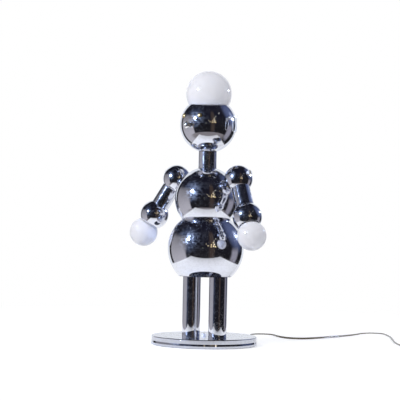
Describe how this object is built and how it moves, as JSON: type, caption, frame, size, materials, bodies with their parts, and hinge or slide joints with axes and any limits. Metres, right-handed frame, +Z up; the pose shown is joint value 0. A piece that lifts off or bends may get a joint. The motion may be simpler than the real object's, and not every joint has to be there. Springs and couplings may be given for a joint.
{
  "type": "robot shaped desk lamp",
  "caption": "Chrome robot figure lamp: ball head holding an opal globe bulb, ball body on tube legs and a round weighted base, swinging arms with opal bulbs in the hands, and a flat cord.",
  "frame": {"origin": "on the floor, at the centre of the round base's underside", "axes": "+Z up, the robot looks along -Y, its left arm is on +X, the cord leaves at the back (+Y)"},
  "size_m": [0.7637, 0.8762, 0.7583],
  "materials": {
    "chrome": "polished chrome plate on steel",
    "opal_glass": "opal, glossy",
    "brass": "plain brass",
    "zinc_steel": "zinc plated",
    "cast_weight": "rough, painted black",
    "bottom_sheet": "black paint",
    "felt": "black felt",
    "holder_plastic": "moulded black",
    "cord_plastic": "brownish clear sheath",
    "plug_plastic": "moulded brown",
    "tie_plastic": "black"
  },
  "bodies": {
    "stand": {"base_pan": "chrome", "base_weight": "cast_weight", "base_plate": "bottom_sheet", "base_pad": "felt", "base_bolt": "zinc_steel", "base_cap_nut": "chrome", "cord_bushing": "cord_plastic", "left_leg_tube": "chrome", "right_leg_tube": "chrome", "leg_pipes": "zinc_steel", "hip_plate": "chrome", "lower_body_shell": "chrome", "waist_plate": "chrome", "torso_shell": "chrome", "spine_pipe": "zinc_steel", "pipe_nuts": "zinc_steel", "neck_tube": "chrome", "shoulder_pivot_pipes": "zinc_steel", "shoulder_saddle_washers": "chrome", "shoulder_cap_nuts": "chrome", "supply_lead": "cord_plastic", "stand_leads": "cord_plastic", "connector_block": "holder_plastic", "head_holder_body": "holder_plastic", "head_holder_shell": "brass", "head_bulb_glass": "opal_glass", "head_bulb_cap": "brass", "cord_run": "cord_plastic", "cord_coil": "cord_plastic", "cord_tie": "tie_plastic", "plug_body": "plug_plastic", "plug_blades": "zinc_steel"},
    "head": {"head_shell": "chrome", "eye_studs": "brass", "face_nuts": "zinc_steel", "ear_eyes": "chrome", "nose_switch_body": "holder_plastic", "nose_switch_nut": "zinc_steel"},
    "nose": {"nose_knob": "chrome"},
    "left_earring": {"left_earring": "chrome"},
    "right_earring": {"right_earring": "chrome"},
    "left_arm": {"left_shoulder_ball": "chrome", "left_arm_tube": "chrome", "left_arm_pipe": "zinc_steel", "left_arm_nuts": "zinc_steel", "left_hand_ball": "chrome", "left_hand_holder_body": "holder_plastic", "left_hand_holder_shell": "brass", "left_hand_bulb_glass": "opal_glass", "left_hand_bulb_cap": "brass"},
    "right_arm": {"right_shoulder_ball": "chrome", "right_arm_tube": "chrome", "right_arm_pipe": "zinc_steel", "right_arm_nuts": "zinc_steel", "right_hand_ball": "chrome", "right_hand_holder_body": "holder_plastic", "right_hand_holder_shell": "brass", "right_hand_bulb_glass": "opal_glass", "right_hand_bulb_cap": "brass"}
  },
  "joints": [
    {"name": "left_arm_swing", "type": "hinge", "parent": "stand", "child": "left_arm", "pos_m": [0.11284, 0, 0.45892], "axis": [-0.8983, 0, -0.4394], "range_deg": [-75, 105]},
    {"name": "right_arm_swing", "type": "hinge", "parent": "stand", "child": "right_arm", "pos_m": [-0.11284, 0, 0.45892], "axis": [-0.8983, 0, 0.4394], "range_deg": [-75, 105]},
    {"name": "head_swivel", "type": "hinge", "parent": "stand", "child": "head", "pos_m": [0, 0, 0.60983], "axis": [0, 0, 1], "range_deg": [-90, 90]},
    {"name": "nose_switch_turn", "type": "hinge", "parent": "head", "child": "nose", "pos_m": [0, -0.08735, 0.6047], "axis": [0, -0.9983, -0.0586], "continuous": true},
    {"name": "left_earring_swing", "type": "hinge", "parent": "head", "child": "left_earring", "pos_m": [0.095, 0, 0.62143], "axis": [1, 0, 0], "range_deg": [-60, 60]},
    {"name": "right_earring_swing", "type": "hinge", "parent": "head", "child": "right_earring", "pos_m": [-0.095, 0, 0.62143], "axis": [1, 0, 0], "range_deg": [-60, 60]}
  ]
}
